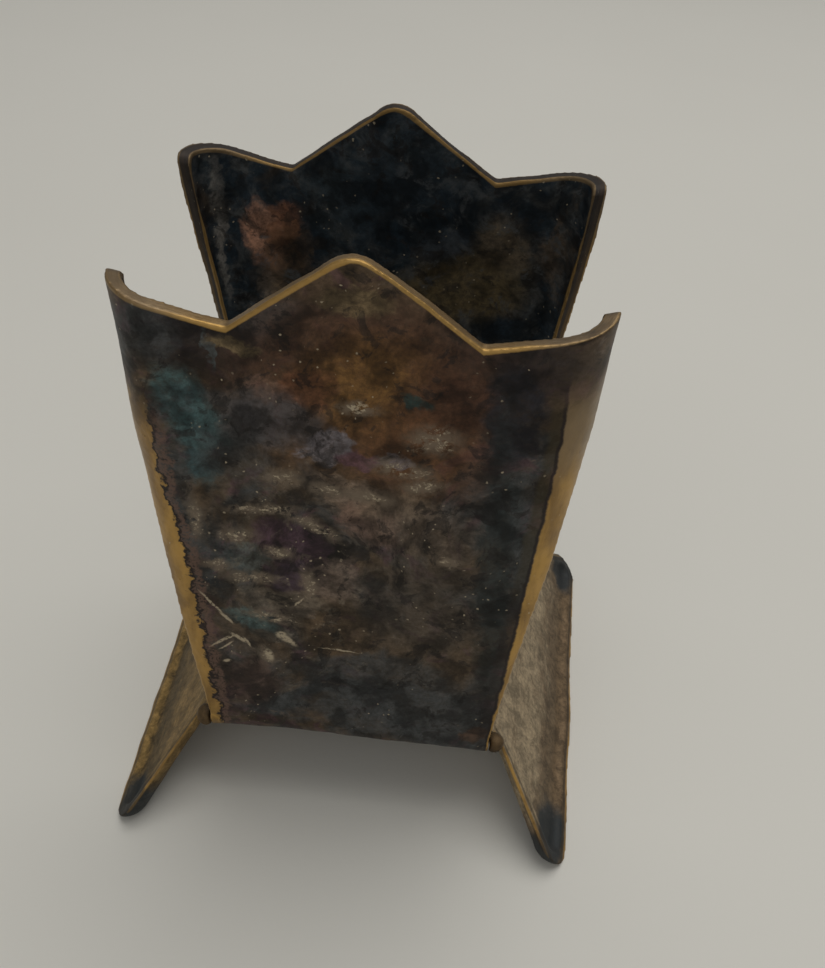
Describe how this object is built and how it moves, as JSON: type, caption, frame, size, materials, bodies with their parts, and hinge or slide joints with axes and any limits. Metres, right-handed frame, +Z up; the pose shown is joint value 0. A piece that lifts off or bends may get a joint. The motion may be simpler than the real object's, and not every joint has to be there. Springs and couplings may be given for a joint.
{
  "type": "votive candle holder",
  "caption": "Free-standing sheet-brass votive candle holder: crown-topped front and back walls with rolled edges, open sides, a raised floor and splayed dished feet.",
  "frame": {"origin": "on the table, under the middle of the box that the holder fills; the middle of the floor plate is 0.8 mm to the left of it and 0.2 mm behind it, because the right foot is set slightly out of square", "axes": "+Z up, +Y from the front wall to the back wall, +X from the left foot to the right foot"},
  "size_m": [0.0718, 0.0654, 0.0936],
  "materials": {
    "wall_patina": "sheet brass under a dark mottled blue-black and brown patina, bare and golden where it is worn along the rolled and cut edges",
    "foot_patina": "sheet brass with a streaky tan and grey-brown patina, blue-black tips and golden rims",
    "floor_brass": "sheet brass, dull brown patina",
    "braze": "brazing metal, dull gold"
  },
  "bodies": {
    "root": {"front_wall": "wall_patina", "back_wall": "wall_patina", "left_foot": "foot_patina", "right_foot": "foot_patina", "floor_plate": "floor_brass", "front_wall_braze": "braze", "back_wall_braze": "braze", "left_foot_braze": "braze", "right_foot_braze": "braze", "corner_beads": "braze"}
  },
  "joints": []
}
